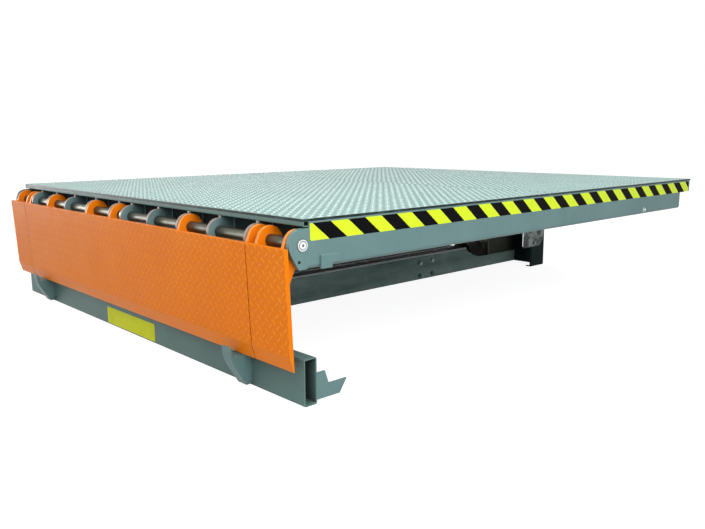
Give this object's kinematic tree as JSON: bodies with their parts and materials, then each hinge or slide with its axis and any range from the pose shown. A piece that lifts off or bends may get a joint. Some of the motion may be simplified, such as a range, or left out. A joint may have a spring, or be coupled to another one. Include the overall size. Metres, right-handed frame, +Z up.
{
  "type": "dock leveler",
  "caption": "Dock leveler: hinged tread-plate platform with a swinging front lip on a through shaft, standing on a ground frame with lip keepers.",
  "frame": {"origin": "on the ground under the middle of the front beam, below the platform's front edge", "axes": "+X across the platform to the right seen from the front, +Y from the lip to the rear hinge, +Z up"},
  "size_m": [2.216, 2.635, 0.545],
  "materials": {
    "deck_paint": "glossy pale grey-green paint on tread plate",
    "frame_paint": "satin grey-green paint",
    "base_paint": "satin dark grey-green paint",
    "lip_paint": "satin orange paint on tread plate",
    "zinc_steel": "bright zinc-plated round bar"
  },
  "bodies": {
    "base_frame": {"front_beam": "frame_paint", "lip_keeper_left": "frame_paint", "lip_keeper_right": "frame_paint", "front_anchor_left": "frame_paint", "front_anchor_right": "frame_paint", "spine_channel_left": "base_paint", "spine_channel_right": "base_paint", "rear_sill": "base_paint", "rear_post_left": "base_paint", "rear_post_right": "base_paint", "post_plate_left": "deck_paint", "post_plate_right": "deck_paint", "rear_beam": "base_paint", "rear_frame_lugs": "base_paint", "rear_hinge_rod": "zinc_steel", "oil_tank": "base_paint", "pump_block": "zinc_steel", "pump_motor": "base_paint", "unit_bracket": "base_paint"},
    "platform": {"deck_plate": "deck_paint", "front_edge_bar": "frame_paint", "front_cross_plate": "frame_paint", "rear_cross_plate": "frame_paint", "side_beam_left": "frame_paint", "side_beam_right": "frame_paint", "hinge_cheek_left": "frame_paint", "hinge_cheek_right": "frame_paint", "side_stop_left": "frame_paint", "side_stop_right": "frame_paint", "rib_1": "frame_paint", "rib_2": "frame_paint", "rib_3": "frame_paint", "rib_4": "frame_paint", "rib_5": "frame_paint", "rib_6": "frame_paint", "deck_hinge_lugs": "frame_paint", "rear_deck_lugs": "frame_paint", "hinge_shaft": "zinc_steel", "shaft_collars": "zinc_steel"},
    "lip": {"lip_plate": "lip_paint", "lip_flap_left": "lip_paint", "lip_flap_right": "lip_paint", "lip_lugs": "lip_paint", "flap_lugs_left": "lip_paint", "flap_lugs_right": "lip_paint"}
  },
  "joints": [
    {"name": "platform_hinge", "type": "hinge", "parent": "base_frame", "child": "platform", "pos_m": [0, 2.53, 0.515], "axis": [-1, 0, 0], "range_deg": [0, 11]},
    {"name": "lip_hinge", "type": "hinge", "parent": "platform", "child": "lip", "pos_m": [0, -0.004, 0.472], "axis": [-1, 0, 0], "range_deg": [0, 88]}
  ],
  "couplings": [
    {"joint": "lip_hinge", "follows": "platform_hinge", "ratio": 8}
  ]
}
